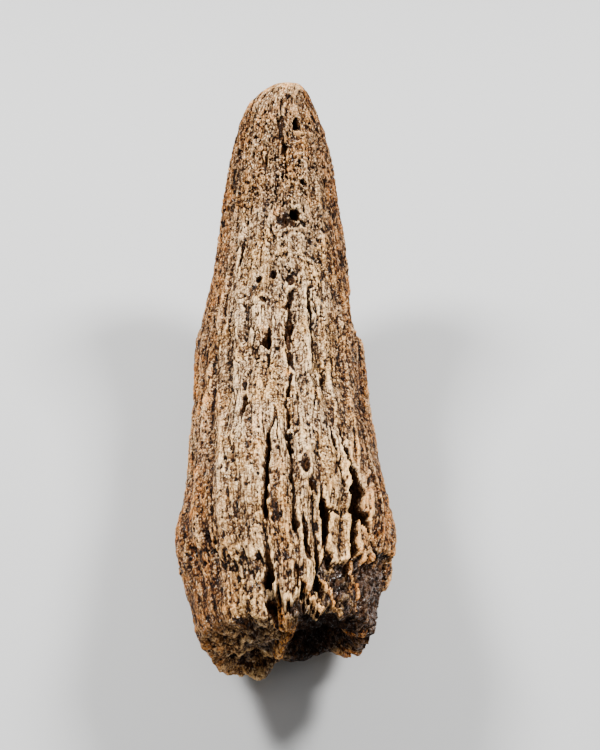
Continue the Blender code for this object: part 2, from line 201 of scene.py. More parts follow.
# Cracks from the tip end to the root end: along, around, width and depth at each point.
CRACKS = (
    ((263, 40, 1.0, 0.0), (257, 38, 1.6, 1.6), (248, 34, 1.6, 1.2), (242, 32, 1.2, 0.0)),
    ((262, 84, 1.0, 0.0), (250, 91, 1.8, 1.2), (240, 90, 2.4, 1.2), (190, 82, 2.4, 0.0)),
    ((234, 87, 1.4, 0.0), (230, 87, 1.8, 2.4), (226, 86, 2.2, 2.8), (217, 85, 1.2, 0.0)),
    ((225, 112, 1.0, 0.0), (220, 109, 1.3, 2.0), (213, 106, 1.0, 0.0)),
    ((230, 104, 1.0, 0.0), (221, 106, 1.3, 2.2), (209, 105, 1.0, 0.0)),
    ((176, 121, 1.0, 0.0), (166, 123, 1.6, 2.4), (158, 125, 1.8, 2.6), (150, 126, 1.0, 0.0)),
    ((152, 82, 2.6, 0.0), (140, 82, 2.6, 1.4), (74, 84, 2.6, 1.4), (64, 84, 2.0, 0.0)),
    ((138, 70, 1.0, 0.0), (128, 70, 1.3, 2.6), (94, 68, 1.5, 2.8), (66, 71, 1.3, 0.0)),
    ((114, 97, 1.0, 0.0), (98, 97, 1.3, 2.0), (56, 98, 1.0, 0.0)),
    ((68, 84, 1.0, 0.0), (58, 85, 1.2, 2.6), (46, 88, 1.5, 3.2), (33, 88, 0.9, 2.2),
     (19, 88, 1.4, 3.0), (4, 86.4, 0.8, 2.0), (-5, 86.8, 0.8, 2.0), (-24, 84.8, 0.8, 2.2),
     (-31, 84.5, 1.6, 2.8), (-40, 84.5, 1.6, 2.8), (-47, 85.5, 0.9, 1.4), (-56, 86, 0.9, 1.8),
     (-64, 85.5, 1.4, 2.6), (-70, 85, 2.0, 0.0)),
    ((66, 113, 1.2, 0.0), (54, 113, 2.2, 2.4), (44, 113, 2.0, 2.4), (31, 113, 1.2, 0.0)),
    ((26, 99, 1.0, 0.0), (14, 99, 1.4, 2.6), (-4, 100.2, 1.8, 3.0), (-24, 101.5, 1.6, 2.8),
     (-28, 101.8, 1.0, 0.2), (-36, 102.5, 0.8, 1.3), (-44, 103.5, 1.0, 1.8), (-50, 102.7, 2.2, 3.2),
     (-56, 104, 3.8, 3.6), (-61, 102.3, 2.2, 3.0), (-66, 103.5, 4.0, 3.4), (-71, 102, 2.0, 2.4),
     (-75, 102, 2.0, 0.0)),
    ((42, 31, 1.0, 0.0), (31, 31, 1.4, 2.6), (17, 35, 1.3, 2.6), (3, 39, 1.2, 0.0)),
    ((33, 62, 1.0, 0.0), (22, 60, 2.0, 3.2), (12, 59, 1.8, 3.2), (2, 58, 1.2, 0.0)),
    ((38, 57, 1.2, 0.0), (27, 54, 2.2, 3.4), (19, 52, 3.0, 4.4), (12, 49, 5.6, 5.6),
     (6, 47, 8.4, 6.6), (-2, 46.6, 8.2, 6.8), (-8, 47, 7.2, 6.8), (-14, 47.5, 6.2, 6.6),
     (-20, 47.6, 5.0, 6.2), (-28, 47, 3.8, 5.6), (-38, 45, 3.2, 4.6), (-48, 43, 3.2, 0.0)),
    ((-8, 45, 3.0, 0.0), (-13, 42, 4.4, 6.0), (-17, 40, 3.4, 5.4), (-21, 36, 3.0, 5.0),
     (-24, 31, 3.0, 5.0), (-28, 25, 3.0, 0.0)),
    ((-6, 69.5, 1.0, 0.0), (-14, 69.5, 1.4, 3.0), (-24, 67, 2.4, 4.6), (-32, 67, 2.2, 4.4),
     (-42, 69, 1.8, 0.0)),
    ((-26, 80.5, 0.9, 0.0), (-34, 80, 1.4, 2.8), (-42, 79, 1.6, 3.0), (-49, 78, 1.2, 0.0)),
    ((-34, 73, 1.0, 0.0), (-44, 72.5, 1.8, 3.2), (-54, 70, 2.4, 3.0), (-60, 68, 2.0, 0.0)),
    ((4, 136, 1.0, 0.0), (-4, 135.5, 1.4, 2.8), (-18, 134.5, 1.2, 2.4), (-26, 136, 1.0, 0.0)),
    ((124, 196, 4.5, 0.0), (110, 195, 4.5, 1.6), (30, 192, 4.5, 0.0)),
    ((184, 214, 4.5, 0.0), (170, 215, 4.5, 1.6), (90, 220, 4.5, 0.0)),
    ((154, 335, 5.0, 0.0), (130, 336, 5.0, 2.0), (40, 341, 5.0, 0.0)),
    ((92, 8, 4.5, 0.0), (80, 7, 4.5, 1.8), (10, 2, 4.5, 0.0)),
    ((214, 300, 4.0, 0.0), (200, 299, 4.0, 1.4), (140, 296, 4.0, 0.0)),
)
# Ridges that stand on the bare spongy bone: along, around, width and height at each point.
SPINES = (
    ((-54, 82, 1.6, 0.0), (-61, 80.5, 2.6, 2.6), (-65, 71, 4.0, 3.6), (-69, 62, 4.6, 3.4),
     (-74, 56, 4.0, 0.0)),
    ((-40, 73, 1.2, 0.0), (-47, 72, 1.6, 2.0), (-56, 64.2, 1.8, 2.4), (-64, 55.5, 1.8, 2.2),
     (-70, 50, 1.5, 0.0)),
    ((-38, 43.8, 1.2, 0.0), (-44, 40, 1.5, 1.8), (-50, 37, 1.5, 2.0), (-58, 37, 1.5, 2.0),
     (-66, 37, 1.4, 0.0)),
)
PITS = (  # along, around, length, width, depth
    (241, 69, 4.6, 1.9, 3.6),
    (187, 77.5, 4.2, 3.2, 5.0),
    (182, 82, 8, 6, 1.4),
    (208, 67, 1.8, 1.5, 2.4),
    (96, 99, 7, 2.6, 2.8),
    (146, 94.5, 4.0, 2.0, 2.4),
    (142, 105, 3.4, 2.0, 2.4),
    (127, 101, 3.4, 2.0, 2.4),
    (155, 141, 5, 2.2, 2.0),
    (44, 112, 4, 2.4, 1.6),
    (0, 79, 8, 2.2, 1.8),
    (-9, 75, 4, 2.6, 1.6),
    (-20, 61.5, 1.4, 4.4, 4.0),
    (-28, 137, 3, 2, 2.4),
    (-69, 137, 2.2, 1.8, 3.0),
    (-74, 119.5, 4, 2.6, 4.0),
    (-70, 127, 4, 4, 2.0),
    (-30, 236, 13, 10, 6.0),
    (170, 20, 7, 4, 2.0),
    (70, 160, 9, 5, 1.8),
    (110, 310, 12, 6, 2.0),
)
FACE_RIDGES = (  # across, up, width and height at each point
    ((-10, 33, 3.0, 2.0), (-3, 25, 3.6, 3.6), (0, 14, 3.6, 4.2), (-2, 4, 3.2, 3.8), (-5, -9, 3.0, 2.4)),
    ((31, 18, 3.0, 2.4), (29, 6, 3.4, 3.4), (23, -10, 3.4, 3.0)),
)
BEADS = (  # along, around, size, height
    (-46, 57, 4.0, 2.6),
    (-50, 51.5, 4.0, 2.8),
    (-55, 47, 3.4, 2.0),
    (-57, 53, 3.0, 1.6),
    (-66, 42, 4.0, 2.2),
    (-78, 121.5, 2.6, 2.6),
    (-63, 120, 3.4, 1.2),
    (-71, 115, 3.0, 1.4),
)
RIDGE_COUNT = 8.0
RIDGE_LENGTH = 75.0
LUMP_COUNT = 2.2
LUMP_LENGTH = 38.0
LEDGE = (122.0, 20.0, 24.0, 1.8)       # along, around, half width, height
LEDGE_RISE = (-34.0, -4.0)             # where it rises, counted from its place along,
LEDGE_FALL = (3.0, -2.0)               # and where it drops to the tip
PLATE_WIDTH = 4.4      # long plates that the drying bone has split into, at the girth
PLATE_FLOW = (         # along, number of plates counted from the girth: they shorten to the tip
    (-100, -2.0), (0, 0.0), (60, 1.2), (110, 2.8), (150, 5.4), (185, 9.4), (TIP, 25.0),
)
PORE_SIZE = 1.9
SPONGE_SIZE = 2.9      # of the open cells of the bare bone
SPLINTER_WIDTH = 5.0   # degrees, of the teeth along broken edges

# Seeds of the noises that the solid has too.
RIDGE_SEED = 3.0
LUMP_SEED = 9.0
SPLINTER_SEED = 12.5
FACE_SEED = 5.0

# The lattice of the surface.
COLUMNS = 360
CROWDING = 0.35        # the upper side has closer columns than the underside
TIP_CAP = 20.0
TIP_ROWS = 16
SHAFT_ROWS = 270
FACE_ROWS = 70
ROW_CROWDING = (       # part of the shaft's rows, along: rows lie closer at both ends
    (0.0, TIP - TIP_CAP), (0.24, 195.0), (0.76, 8.0), (1.0, -56.0),
)
ROOT_NOMINAL = -56.0
GRIP_START = 22.0
MOST_TRIANGLES = 196000
NEAR_ROUNDS = 6        # rounds of smoothing that show how deep a place lies in the fine relief
FAR_ROUNDS = 60        # and in the coarse relief
MARKS = ("depth", "shade", "plate", "dark", "cut", "yellow")

# The finish.
FINE_RELIEF = 0.9 * MM   # of the crumbs and streaks that the mesh leaves out
FIRST_COLOUR = 6         # sockets of a mix of two colours
SECOND_COLOUR = 7
MIXED_COLOUR = 2

# The stage, in metres and degrees.
CAMERA_LENS = 75.0       # millimetres, with a sensor 36 mm wide
CAMERA_PLACE = (0.0056, -0.5367, 0.512)
CAMERA_TILT = 40.0       # down from level
LIGHT_TARGET = (0.0, 0.0, 0.05)
LIGHTS = (               # name, place, width, power in watts
    ("softbox_left", (-0.7, 0.4, 0.95), 0.3, 40.5),
    ("softbox_right", (0.7, 0.4, 0.95), 0.3, 40.5),
    ("fill", (0.0, -0.9, 1.3), 1.0, 7.5),
)
STUDIO_LIGHT = (0.9, 0.92, 0.95)
STUDIO_STRENGTH = 0.25
FLOOR_RADIUS = 4.0
FLOOR_GRAIN = 0.004


class HornCoreRelief(bpy.types.PropertyGroup):
    """Heights and depths of the surface."""

    ridge_height: bpy.props.FloatProperty(
        name="Ridges", description="Height of the coarse ridges along the bone",
        default=2.8 * MM, min=0.0, unit="LENGTH")
    lump_height: bpy.props.FloatProperty(
        name="Lumps", description="Height of the broad swellings",
        default=1.3 * MM, min=0.0, unit="LENGTH")
    plate_height: bpy.props.FloatProperty(
        name="Plates", description="Difference in height between neighbouring plates",
        default=0.5 * MM, min=0.0, unit="LENGTH")
    fissure_depth: bpy.props.FloatProperty(
        name="Fissures", description="Depth of the gaps between plates",
        default=1.5 * MM, min=0.0, unit="LENGTH")
    worm_depth: bpy.props.FloatProperty(
        name="Worm Grooves", description="Depth of the winding grooves, which are densest at the tip",
        default=0.45 * MM, min=0.0, unit="LENGTH")
    grit_height: bpy.props.FloatProperty(
        name="Grit", description="Height of the fine lumps",
        default=0.4 * MM, min=0.0, unit="LENGTH")
    pore_depth: bpy.props.FloatProperty(
        name="Pores", description="Depth of the ragged holes",
        default=1.1 * MM, min=0.0, unit="LENGTH")
    sponge_depth: bpy.props.FloatProperty(
        name="Sponge", description="Depth of the cells where the spongy bone is bare",
        default=1.9 * MM, min=0.0, unit="LENGTH")


class HornCoreColours(bpy.types.PropertyGroup):
    """Colours of the bone and the stage."""

    # cream is also reached through the painted light on raised crests
    cream: bpy.props.FloatVectorProperty(
        name="Cream", description="Worn crests of the bone",
        subtype="COLOR", default=(1.0, 0.70, 0.385), min=0.0, max=1.0)
    buff: bpy.props.FloatVectorProperty(
        name="Buff", description="Body colour of the bone",
        subtype="COLOR", default=(0.445, 0.302, 0.168), min=0.0, max=1.0)
    tan: bpy.props.FloatVectorProperty(
        name="Tan", description="Stained bone",
        subtype="COLOR", default=(0.188, 0.108, 0.050), min=0.0, max=1.0)
    brown: bpy.props.FloatVectorProperty(
        name="Brown", description="Sides of cracks and pores",
        subtype="COLOR", default=(0.048, 0.018, 0.006), min=0.0, max=1.0)
    # umber is also painted shade: in the deepest cracks and cells, and in the face's hollow
    umber: bpy.props.FloatVectorProperty(
        name="Umber", description="Dark filling of cracks and pores",
        subtype="COLOR", default=(0.006, 0.0025, 0.001), min=0.0, max=1.0)
    rust: bpy.props.FloatVectorProperty(
        name="Rust", description="Iron stain that tints the flanks, the tip and some crumbs",
        subtype="COLOR", default=(0.79, 0.555, 0.335), min=0.0, max=1.0)
    ochre: bpy.props.FloatVectorProperty(
        name="Ochre", description="Tint of the yellow patches and of the ridges at the root",
        subtype="COLOR", default=(1.0, 0.66, 0.28), min=0.0, max=1.0)
    # chalk chips also serve as painted glints
    chalk_glint: bpy.props.FloatVectorProperty(
        name="Chalk", description="Pale worn chips",
        subtype="COLOR", default=(1.0, 0.70, 0.40), min=0.0, max=1.0)
    gold: bpy.props.FloatVectorProperty(
        name="Gold", description="Tint of the golden patches and of the root",
        subtype="COLOR", default=(0.94, 0.81, 0.58), min=0.0, max=1.0)
    floor: bpy.props.FloatVectorProperty(
        name="Floor", description="The pale floor",
        subtype="COLOR", default=(0.38, 0.38, 0.377), min=0.0, max=1.0)


def smooth(low, high, value):
    """0 below low, 1 above high, and a soft step between; low may be the greater."""
    part = np.clip((value - low) / (high - low), 0.0, 1.0)
    return part * part * (3.0 - 2.0 * part)


def read_profile(points, places):
    """Smooth curve through (place, value) points that never overshoots them."""
    xs, ys = np.array(points, float).T
    places = np.clip(places, xs[0], xs[-1])
    rises = np.diff(ys) / np.diff(xs)
    slopes = np.empty_like(ys)
    slopes[0], slopes[-1] = rises[0], rises[-1]
    before, after = rises[:-1], rises[1:]
    same = before * after > 0.0
    total = np.where(same, before + after, 1.0)
    slopes[1:-1] = np.where(same, 2.0 * before * after / total, 0.0)
    index = np.clip(np.searchsorted(xs, places, side="right") - 1, 0, len(xs) - 2)
    span = xs[index + 1] - xs[index]
    part = (places - xs[index]) / span
    square, cube = part ** 2, part ** 3
    return ((2 * cube - 3 * square + 1) * ys[index] + (cube - 2 * square + part) * span * slopes[index]
            + (3 * square - 2 * cube) * ys[index + 1] + (cube - square) * span * slopes[index + 1])


def read_round(points, around):
    """Straight stretches through (around, value) points, closed round the circle."""
    xs, ys = np.array(points, float).T
    return np.interp(around % 360.0, xs, ys, period=360.0)


def turn(around, target):
    """Signed angle in degrees from target to around."""
    return (around - target + 180.0) % 360.0 - 180.0


def axis_at(along):
    """Places on the curved axis, and the slope there in radians."""
    low = math.radians(ROOT_SLOPE)
    radius = (TIP - BEND_START) / math.radians(TIP_SLOPE - ROOT_SLOPE)
    straight = np.minimum(along, BEND_START)
    slope = low + np.maximum(along - BEND_START, 0.0) / radius
    x = NECK_SHIFT * smooth(*NECK, along) - SIDE_BOW * smooth(0.0, SIDE_BOW_END, along)
    x = x + TIP_SHIFT * smooth(TIP_SHIFT_START, TIP, along)
    y = straight * math.cos(low) + radius * (np.sin(slope) - math.sin(low))
    z = straight * math.sin(low) + radius * (math.cos(low) - np.cos(slope))
    return x, y, GIRTH_HEIGHT + z, slope


def place(along, around, radius):
    """Points at a radius from the axis, on the sections at along."""
    x, y, z, slope = axis_at(along)
    angle = np.radians(around)
    up = radius * np.sin(angle)
    return np.stack((x + radius * np.cos(angle), y - up * np.sin(slope), z + up * np.cos(slope)), -1)


def each_point(x, y, z):
    """The points of three arrays, one after another."""
    return zip(x.ravel().tolist(), y.ravel().tolist(), z.ravel().tolist())


def noise_of(x, y, z):
    """Soft noise, about -0.6 to 0.6, at each point."""
    x, y, z = np.broadcast_arrays(x, y, z)
    found = [noise.noise(point) for point in each_point(x, y, z)]
    return np.reshape(found, x.shape)


def grain_noise(along, around, cells, length, seed):
    """Noise drawn out along the bone and closed round it."""
    angle = np.radians(around)
    return noise_of(cells * np.cos(angle) + seed, cells * np.sin(angle), along / length)


def read_cells(x, y, z):
    """For each point: distance to the wall of its cell, and the cell's own number."""
    x, y, z = np.broadcast_arrays(x, y, z)
    found = np.empty((x.size, 2))
    for row, point in zip(found, each_point(x, y, z)):
        reaches, middles = noise.voronoi(point)
        row[:] = reaches[1] - reaches[0], noise.cell(middles[0] * 9.7)
    return found.reshape(*x.shape, 2).transpose(x.ndim, *range(x.ndim))


def plates(along, around, width, seed):
    """Wall distance and own number of the long plates that the bone has split into."""
    around = around + 2.4 * grain_noise(along, around, 6.0, 16.0, seed + 3.0)
    angle = np.radians(around)
    count = GIRTH_RADIUS / width
    flow = read_profile(PLATE_FLOW, along) * PLATE_WIDTH / width
    flow = flow + 0.25 * grain_noise(along, around, 12.0, 8.0, seed + 7.0)
    return read_cells(count * np.cos(angle) + seed, count * np.sin(angle), flow)


def splinters(around, width, seed):
    """A number from -1 to 1 that holds over a splinter and jumps to the next one."""
    wobble = 0.3 * noise_of(around / 9.0, seed, 0.5)
    found = [noise.cell((value, seed, 0.5)) for value in (around / width + wobble).flat]
    return np.reshape(found, around.shape)


def route_relief(routes, along, around, radius):
    """Height or depth of the named routes along the bone, with ragged sides."""
    found = np.zeros_like(along)
    waver = 0.9 * grain_noise(along, around, 5.0, 9.0, 31.0)
    ragged = 0.8 * grain_noise(along, around, 16.0, 5.0, 33.0)
    ragged = ragged + 0.5 * grain_noise(along, around, 24.0, 2.6, 37.0)
    broken = grain_noise(along, around, 7.0, 7.0, 41.0)
    for route in routes:
        places, angles, widths, heights = np.array(route[::-1], float).T
        middle = np.interp(along, places, angles)
        width = np.interp(along, places, widths)
        height = np.interp(along, places, heights, left=0.0, right=0.0)
        across = abs(np.radians(turn(around, middle)) * radius + waver) + ragged
        height = height * np.maximum(smooth(-0.5, -0.25, broken), smooth(2.4, 4.0, width))
        width = width * (1.0 + 0.8 * broken)
        found = np.maximum(found, height * smooth(0.5, -0.5, across - 0.5 * width))
    return found


def pit_depth(along, around, radius):
    """Depth of the named pits."""
    depth = np.zeros_like(along)
    waver = 0.5 * grain_noise(along, around, 12.0, 5.0, 47.0)
    for middle, centre, length, width, most in PITS:
        across = np.radians(turn(around, centre)) * radius
        reach = np.hypot((along - middle) / length, across / width) + waver
        depth += most * smooth(1.0, 0.3, reach)
    return depth


def layer_end(along, around):
    """Where the outer layer ends, along the axis."""
    line = around[0] if around.ndim == 2 else around
    ragged = 2.2 * splinters(line, SPLINTER_WIDTH, SPLINTER_SEED) + 1.5 * splinters(line, 2.2, 22.5)
    end = read_round(LAYER_END, around) + ragged
    return end + 2.0 * grain_noise(along, around, 20.0, 6.0, 12.0)


def patches_at(spots, along, around):
    """How strong the named patches are."""
    found = np.zeros_like(along)
    ragged = 0.35 * grain_noise(along, around, 8.0, 12.0, 81.0)
    ragged = ragged + 0.3 * grain_noise(along, around, 22.0, 4.0, 83.0)
    for middle, centre, length, width, most in spots:
        across = np.radians(turn(around, centre)) * GIRTH_RADIUS
        reach = np.hypot((along - middle) / length, across / width) + ragged
        found = np.maximum(found, most * smooth(1.15, 0.6, reach))
    return found


def path_relief(paths, across, up):
    """Height of the named ridges on the broken face."""
    found = np.zeros(np.broadcast_shapes(across.shape, up.shape))
    for path in paths:
        for (x, y, width, height), (next_x, next_y, next_width, next_height) in zip(path, path[1:]):
            run_x, run_y = next_x - x, next_y - y
            part = ((across - x) * run_x + (up - y) * run_y) / (run_x ** 2 + run_y ** 2)
            part = np.clip(part, 0.0, 1.0)
            reach = np.hypot(across - x - part * run_x, up - y - part * run_y)
            wide = width + part * (next_width - width)
            high = height + part * (next_height - height)
            found = np.maximum(found, high * smooth(wide, 0.3 * wide, reach))
    return found


def swell(along, around, radius):
    """Broad swellings and facets, and the beads on the bare bone."""
    height = np.zeros_like(along)
    for middle, centre, length, width, most in SWELLS:
        across = np.radians(turn(around, centre)) * radius
        height += most * np.exp(-((along - middle) / length) ** 2 - (across / width) ** 2)
    for middle, centre, size, most in BEADS:
        across = np.radians(turn(around, centre)) * radius
        height += most * smooth(size, 0.3 * size, np.hypot(along - middle, across))
    return height


def ledge(along, around):
    """The step on the right flank: steep towards the tip, and worn down towards the root."""
    middle, centre, half, height = LEDGE
    height = height * smooth(half, 0.4 * half, abs(turn(around, centre)))
    for low, high in (LEDGE_RISE, LEDGE_FALL):
        height = height * smooth(middle + low, middle + high, along)
    return height


class Surface:
    """The bone's outer surface with all its relief, and the marks that its finish reads."""

    def __init__(self, along, around, relief):
        self.along, self.around = np.broadcast_arrays(along, around)
        self.even = read_profile(GIRTH, self.along)
        self.slim = smooth(*RIDGES_AT, self.even)
        self.worn = smooth(*WORN_AT, np.sin(np.radians(self.around)))
        self.full = smooth(*CUTS_AT, self.even)
        self.left = smooth(*LEFT_FRONT, self.around) * smooth(*LEFT_BACK, self.around)
        self.from_rim = self.along - rim_along(self.around[0])
        end = layer_end(self.along, self.around)
        self.gone = smooth(end + 0.5, end - 0.5, self.along)
        self.torn = self.gone * smooth(*TORN_AT, end - self.along)
        # Painted shade in a thin line where the outer layer ends
        self.shade = 4.0 * self.gone * (1.0 - self.gone)
        safe = np.maximum(self.even, LEAST_RADIUS)
        cracks = route_relief(CRACKS, self.along, self.around, safe)
        self.cuts = self.full * (cracks + pit_depth(self.along, self.around, self.even))
        self.spines = self.gone * route_relief(SPINES, self.along, self.around, safe)
        self.add_relief(relief)
        self.add_marks()

    def add_relief(self, relief):
        """The radius with all that stands out of the even bone or is cut into it."""
        fissures, plate_rise = self.splits(relief)
        loss = self.gone * read_round(LAYER_THICKNESS, self.around) + self.rounding() - self.spines
        pores = self.sponge(relief) + self.pores(relief)
        swellings = smooth(*SWELLS_AT, self.even) * swell(self.along, self.around, self.even)
        height = self.coarse(relief) + swellings + ledge(self.along, self.around)
        height = height + self.full * plate_rise + self.full * self.grit(relief)
        self.depth = self.cuts + self.full * (fissures + pores)
        self.radius = self.even + height - loss - self.depth

    def add_marks(self):
        """How yellow and how dark the finish is; the dark holds soil and painted shade on the bare bone.
        """
        golden = patches_at(YELLOW, self.along, self.around)
        self.yellow = np.maximum(golden, np.minimum(0.7 * self.spines, 0.7))
        # Soil, and painted shade where the bare root lies in shadow
        soil_and_shade = self.gone * patches_at(SOIL_AND_SHADE, self.along, self.around)
        soil_and_shade = soil_and_shade * (1.0 - np.minimum(np.maximum(self.spines, golden), 1.0))
        self.dark = np.maximum(patches_at(STAINS, self.along, self.around), soil_and_shade)

    def coarse(self, relief):
        """Ridges and swellings."""
        ridges = relief.ridge_height / MM * grain_noise(
            self.along, self.around, RIDGE_COUNT, RIDGE_LENGTH, RIDGE_SEED)
        lumps = relief.lump_height / MM * grain_noise(
            self.along, self.around, LUMP_COUNT, LUMP_LENGTH, LUMP_SEED)
        return self.slim * (ridges * (1.0 - 0.75 * self.worn) + lumps * (1.0 - self.worn))

    def rounding(self):
        """How far the surface falls in towards the broken rim."""
        fall = smooth(RIM_ROUNDING_LENGTH, 0.0, self.from_rim) ** 2
        return read_round(RIM_ROUNDING, self.around) * fall

    def splits(self, relief):
        """Depth of the gaps between plates and of the worm grooves, and how far plates stand out."""
        gap, own = plates(self.along, self.around, PLATE_WIDTH, 0.0)
        small_gap, small_own = plates(self.along, self.around, 0.5 * PLATE_WIDTH, 40.0)
        patches = smooth(-0.1, 0.4, grain_noise(self.along, self.around, 5.0, 34.0, 35.0))
        fine_patches = smooth(-0.2, 0.4, grain_noise(self.along, self.around, 9.0, 12.0, 45.0))
        to_tip = smooth(*WORMS_AT, self.along)
        deep = relief.fissure_depth / MM * (1.0 - 0.75 * to_tip)
        cut = deep * (0.12 + 0.88 * patches) * smooth(0.14, 0.02, gap)
        cut = cut + 0.45 * deep * (0.2 + 0.8 * fine_patches) * smooth(0.2, 0.03, small_gap)
        cut = cut + relief.worm_depth / MM * (0.35 + 0.65 * to_tip) * self.worms()
        rise = relief.plate_height / MM * (own + 0.5 * small_own) * (1.0 - 0.6 * to_tip)
        self.plate = 0.6 * own + 0.4 * small_own
        below = smooth(0.5, 0.0, np.sin(np.radians(self.around)))
        keep = (1.0 - 0.65 * self.worn) * (1.0 - 0.75 * below * smooth(*CALM_AT, self.from_rim))
        crumbly = smooth(*CRUMBLY_AT, self.along) * self.left
        return cut * keep * (1.0 - 0.6 * crumbly), rise * keep * (1.0 - 0.4 * crumbly)

    def worms(self):
        """1 in winding grooves about 3 mm apart, 0 between them."""
        x, y, z = self.solid_places()
        wave = noise_of(x / 2.7, y / 4.2, z / 4.2) + 0.6 * noise_of(x / 1.4 + 7.0, y / 2.2, z / 2.2)
        return smooth(0.20, 0.02, abs(wave))

    def solid_places(self):
        """Places of the even surface, as three arrays."""
        return np.moveaxis(place(self.along, self.around, self.even), -1, 0)

    def grit(self, relief):
        """Fine lumps all over the bone."""
        x, y, z = self.solid_places()
        coarse = noise_of(x / 4.4 + 3.0, y / 5.2, z / 5.2)
        fine = noise_of(x / 1.9, y / 2.3 + 9.0, z / 2.3)
        return relief.grit_height / MM * (coarse + fine) * (1.0 - 0.5 * self.worn)

    def pores(self, relief):
        """Ragged holes: sparse in the body, many at the tip and under the torn edge."""
        angle = np.radians(self.around)
        count = self.even / PORE_SIZE
        x, y, z = self.solid_places()
        shift = 0.5 * noise_of(x / 2.0, y / 2.0, z / 2.0)
        gap, own = read_cells(count * np.cos(angle) + shift, count * np.sin(angle) + 5.0,
                              self.along / (1.5 * PORE_SIZE) - shift)
        share = 0.10 + 0.16 * smooth(*WORMS_AT, self.along)
        patches = smooth(-0.2, 0.4, grain_noise(self.along, self.around, 4.0, 22.0, 55.0))
        share = share * (0.4 + 1.2 * patches) + 0.34 * self.torn * self.left
        chosen = smooth(1.0 - 2.0 * share, 1.0 - 2.0 * share + 0.12, own)
        hole = smooth(0.02, 0.22, gap) * chosen
        return relief.pore_depth / MM * hole * (1.0 - 0.6 * self.worn)

    def sponge(self, relief):
        """Open cells where the outer layer is gone, deepest on the right."""
        angle = np.radians(self.around)
        count = GIRTH_RADIUS / SPONGE_SIZE
        gap, own = read_cells(count * np.cos(angle), count * np.sin(angle),
                              self.along / (1.4 * SPONGE_SIZE))
        open_cells = smooth(0.05, 0.32, gap) * (0.5 + 0.5 * own)
        right = smooth(*SPONGY_SIDE, abs(turn(self.around, 0.0)))
        deep = relief.sponge_depth / MM * (0.15 + 0.85 * right)
        return deep * self.gone * np.maximum(open_cells, 0.0)


def rim_along(around):
    """Where the broken rim lies, along the axis."""
    up = read_profile(GIRTH, np.full_like(around, FACE_ALONG)) * np.sin(np.radians(around))
    ragged = 1.8 * splinters(around, SPLINTER_WIDTH, SPLINTER_SEED)
    ragged = ragged + 0.7 * splinters(around, 1.9, 62.5)
    ragged = ragged * (1.0 - 0.7 * smooth(140.0, 95.0, abs(turn(around, 215.0))))
    return FACE_ALONG - FACE_LEAN * up + read_round(RIM_JAGS, around) + ragged


def row_places():
    """Nominal places of the shaft's rows along the axis, from the tip to the root."""
    bend = np.linspace(0.0, math.pi / 2.0, TIP_ROWS + 1)
    dome = TIP - TIP_CAP * (1.0 - np.cos(bend))
    parts, places = np.array(ROW_CROWDING).T
    shaft = np.interp(np.linspace(0.0, 1.0, SHAFT_ROWS + 1)[1:], parts, places)
    return np.concatenate((dome, shaft))


def column_angles():
    """Angles of the columns, closer together on the upper side."""
    steps = np.linspace(-0.5 * math.pi, 1.5 * math.pi, COLUMNS + 1)[:-1]
    return np.degrees(steps + CROWDING * np.cos(steps))


def shaft_surface(around, relief):
    """Points and marks of the outer surface, a row for each place along and a column per angle."""
    nominal = row_places()[:, None]
    lean = smooth(GRIP_START, ROOT_NOMINAL, nominal)
    along = nominal + lean * (rim_along(around) - ROOT_NOMINAL)
    surface = Surface(along, around, relief)
    marks = (surface.depth, surface.shade, surface.plate, surface.dark, surface.cuts, surface.yellow)
    straight = straightened(surface.along, surface.around, GIRTH_RADIUS)
    unbent = straightened(surface.along, surface.around, surface.radius)
    points = place(surface.along, surface.around, surface.radius)
    return points, straight, unbent, np.stack(marks, -1)


